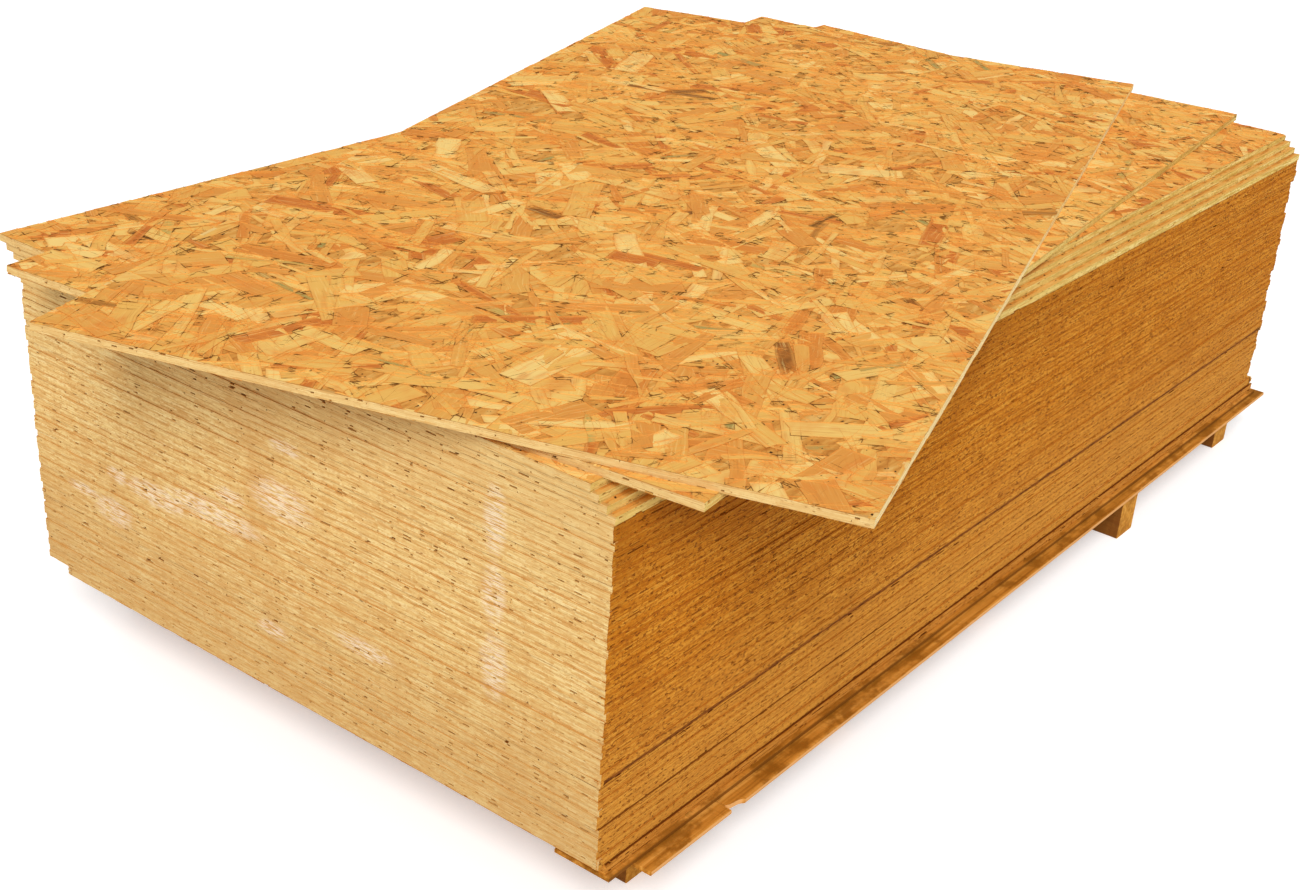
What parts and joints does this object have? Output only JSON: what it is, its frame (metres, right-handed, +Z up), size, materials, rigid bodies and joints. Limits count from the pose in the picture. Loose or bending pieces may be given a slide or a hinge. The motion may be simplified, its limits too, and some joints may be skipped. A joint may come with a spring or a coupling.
{
  "type": "stack of oriented strand board panels",
  "caption": "Squared-up stack of oriented strand board (OSB) panels on softwood bearers, with loose panels fanned out on top.",
  "frame": {"origin": "on the floor at the underside of the middle bearer, under the middle of the squared-up stack", "axes": "+Z up, +X along the long side of the panels away from the near end, +Y across them away from the near side"},
  "size_m": [2.744, 1.88, 0.7595],
  "materials": {
    "osb_panel": "unsanded strand board",
    "bottom_board": "sawn edges",
    "packing_lath": "rough, weathered",
    "softwood_bearer": "rough sawn"
  },
  "bodies": {
    "root": {"panel_01": "osb_panel", "panel_02": "osb_panel", "panel_03": "osb_panel", "panel_04": "osb_panel", "panel_05": "osb_panel", "panel_06": "osb_panel", "panel_07": "osb_panel", "panel_08": "osb_panel", "panel_09": "osb_panel", "panel_10": "osb_panel", "panel_11": "osb_panel", "panel_12": "osb_panel", "panel_13": "osb_panel", "panel_14": "osb_panel", "panel_15": "osb_panel", "panel_16": "osb_panel", "panel_17": "osb_panel", "panel_18": "osb_panel", "panel_19": "osb_panel", "panel_20": "osb_panel", "panel_21": "osb_panel", "panel_22": "osb_panel", "panel_23": "osb_panel", "panel_24": "osb_panel", "panel_25": "osb_panel", "panel_26": "osb_panel", "panel_27": "osb_panel", "panel_28": "osb_panel", "panel_29": "osb_panel", "panel_30": "osb_panel", "panel_31": "osb_panel", "panel_32": "osb_panel", "panel_33": "osb_panel", "panel_34": "osb_panel", "panel_35": "osb_panel", "panel_36": "osb_panel", "panel_37": "osb_panel", "panel_38": "osb_panel", "panel_39": "osb_panel", "panel_40": "osb_panel", "panel_41": "osb_panel", "panel_42": "osb_panel", "panel_43": "osb_panel", "panel_44": "osb_panel", "panel_45": "osb_panel", "panel_46": "osb_panel", "panel_47": "osb_panel", "fanned_panel_1": "osb_panel", "fanned_panel_2": "osb_panel", "cover_board": "bottom_board", "under_board": "bottom_board", "near_lath": "packing_lath", "inner_laths": "packing_lath", "edge_board_short": "packing_lath", "edge_board_long": "packing_lath", "bearer_1": "softwood_bearer", "bearer_2": "softwood_bearer", "bearer_3": "softwood_bearer", "bearer_4": "softwood_bearer", "bearer_5": "softwood_bearer"}
  },
  "joints": []
}
